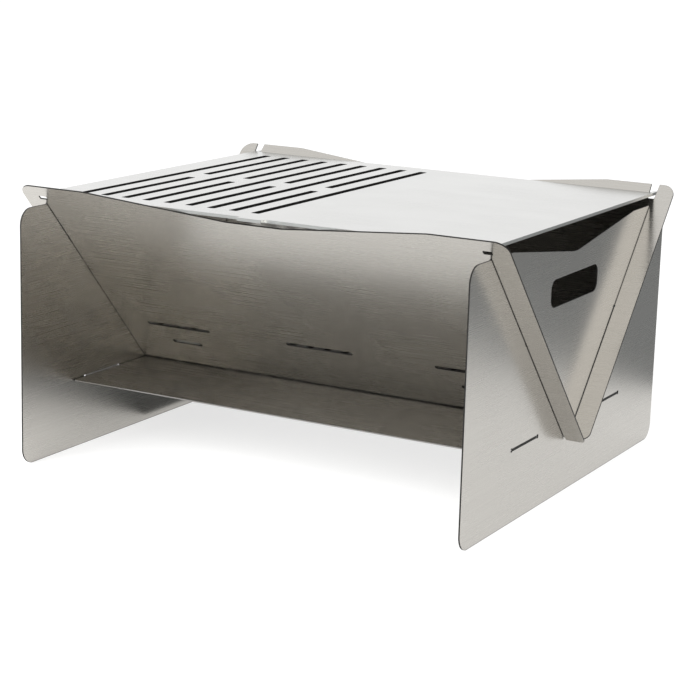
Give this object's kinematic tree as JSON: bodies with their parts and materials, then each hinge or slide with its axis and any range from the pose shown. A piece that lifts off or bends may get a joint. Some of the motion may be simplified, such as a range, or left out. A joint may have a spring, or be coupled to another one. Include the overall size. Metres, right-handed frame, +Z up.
{
  "type": "flat-pack fire bowl",
  "caption": "Flat-pack stainless fire bowl: leaning side sheets slotted through upright end panels, with an ash shelf, fire grate and a half grill, half griddle cooking plate on top.",
  "frame": {"origin": "middle of the footprint, on the surface that the end panels stand on", "axes": "+X along the bowl, towards the griddle half of the plate; -Y towards the front panel; +Z up"},
  "size_m": [0.522, 0.464, 0.2756],
  "materials": {
    "brushed_steel": "brushed",
    "fireside_steel": "brushed, dulled",
    "plate_steel": "fine brushed"
  },
  "bodies": {
    "stand": {"left_end_panel": "brushed_steel", "right_end_panel": "brushed_steel", "ash_shelf": "brushed_steel"},
    "front_side": {"front_side_panel": "brushed_steel"},
    "rear_side": {"rear_side_panel": "brushed_steel"},
    "grate": {"fire_grate": "fireside_steel"},
    "plate": {"cooking_plate": "plate_steel"}
  },
  "joints": [
    {"name": "front_side_slide", "type": "slide", "parent": "stand", "child": "front_side", "axis": [0, -0.673, 0.7396], "range_m": [0, 0.16]},
    {"name": "rear_side_slide", "type": "slide", "parent": "stand", "child": "rear_side", "axis": [0, 0.673, 0.7396], "range_m": [0, 0.16]},
    {"name": "grate_lift", "type": "slide", "parent": "stand", "child": "grate", "axis": [0, 0, 1], "range_m": [0, 0.11835]},
    {"name": "plate_lift", "type": "slide", "parent": "grate", "child": "plate", "axis": [0, 0, 1], "range_m": [0, 0.08]}
  ],
  "couplings": [
    {"joint": "rear_side_slide", "follows": "front_side_slide", "ratio": 1},
    {"joint": "grate_lift", "follows": "front_side_slide", "ratio": 0.73963}
  ]
}
